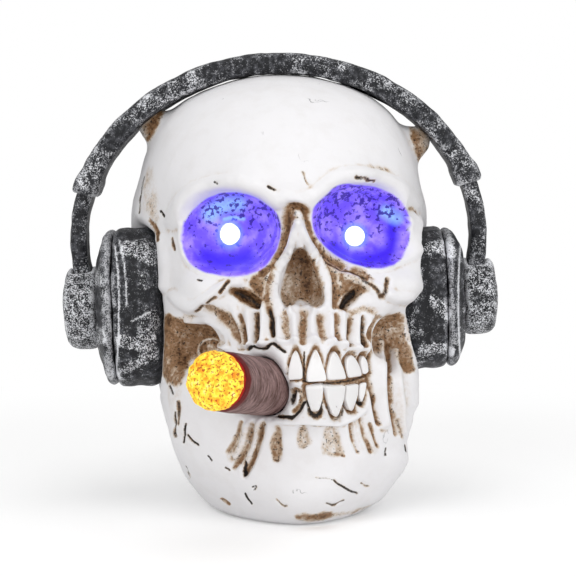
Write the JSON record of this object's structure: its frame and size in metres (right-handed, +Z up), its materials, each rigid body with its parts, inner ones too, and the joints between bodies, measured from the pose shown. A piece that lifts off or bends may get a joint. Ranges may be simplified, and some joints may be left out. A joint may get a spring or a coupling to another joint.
{
  "type": "halloween skull decoration",
  "caption": "Painted resin skull light wearing headphones, with a glowing cigar in its teeth and a light in each eye socket, run by cells behind a door in the base.",
  "frame": {"origin": "on the ground, under the middle of the bounding box", "axes": "+Z up, the face looks along -Y, +X is to the right as seen from the front"},
  "size_m": [0.115, 0.1246, 0.1192],
  "materials": {
    "bone": "cast resin painted off-white with a brown wash",
    "black_silver_paint": "cast resin painted black, dry-brushed with silver",
    "wrapper_paint": "brown painted resin with leaf veins",
    "ember_resin": "translucent resin lit from behind",
    "amber_led": "clear diffused LED body",
    "blue_led": "clear diffused LED body",
    "hot_glue": "set hot glue",
    "black_plastic": "fine moulded texture",
    "battery_jacket": "plain printed jacket without text",
    "contact_metal": "nickel plated spring steel",
    "switch_metal": "folded sheet metal",
    "knob_plastic": "moulded white",
    "board_laminate": "green solder mask",
    "chip_epoxy": "cured black blob",
    "resistor_ceramic": "coated body",
    "white_wire": "soft insulation",
    "red_wire": "soft insulation",
    "black_wire": "soft insulation"
  },
  "bodies": {
    "figure": {"skull_casting": "bone", "headband": "black_silver_paint", "band_arm_left": "black_silver_paint", "band_arm_right": "black_silver_paint", "ear_hub_left": "black_silver_paint", "ear_hub_right": "black_silver_paint", "ear_cup_left": "black_silver_paint", "ear_cup_right": "black_silver_paint", "ear_pad_left": "black_silver_paint", "ear_pad_right": "black_silver_paint", "cigar_wrapper": "wrapper_paint", "cigar_ember": "ember_resin", "cigar_led": "amber_led", "eye_led_left": "blue_led", "eye_led_right": "blue_led", "eye_glue_left": "hot_glue", "eye_glue_right": "hot_glue", "battery_case": "black_plastic", "battery_1": "battery_jacket", "battery_2": "battery_jacket", "negative_contact": "contact_metal", "positive_contact": "contact_metal", "bridge_contact": "contact_metal", "negative_spring": "contact_metal", "bridge_spring": "contact_metal", "switch_body": "switch_metal", "circuit_board": "board_laminate", "chip_blob": "chip_epoxy", "resistor": "resistor_ceramic", "eye_lead_left": "white_wire", "eye_lead_right": "white_wire", "cigar_lead": "white_wire", "battery_lead_red": "red_wire", "battery_lead_black": "black_wire", "switch_lead": "red_wire"},
    "battery_door": {"battery_door": "black_plastic"},
    "switch_knob": {"switch_knob": "knob_plastic"}
  },
  "joints": [
    {"name": "door_hinge", "type": "hinge", "parent": "figure", "child": "battery_door", "pos_m": [0.00234, -0.01102, 0.0019], "axis": [-0.9936, -0.1132, 0], "range_deg": [0, 85]},
    {"name": "switch_slide", "type": "slide", "parent": "figure", "child": "switch_knob", "axis": [-0.1132, 0.9936, 0], "range_m": [-0.0025, 0]}
  ]
}
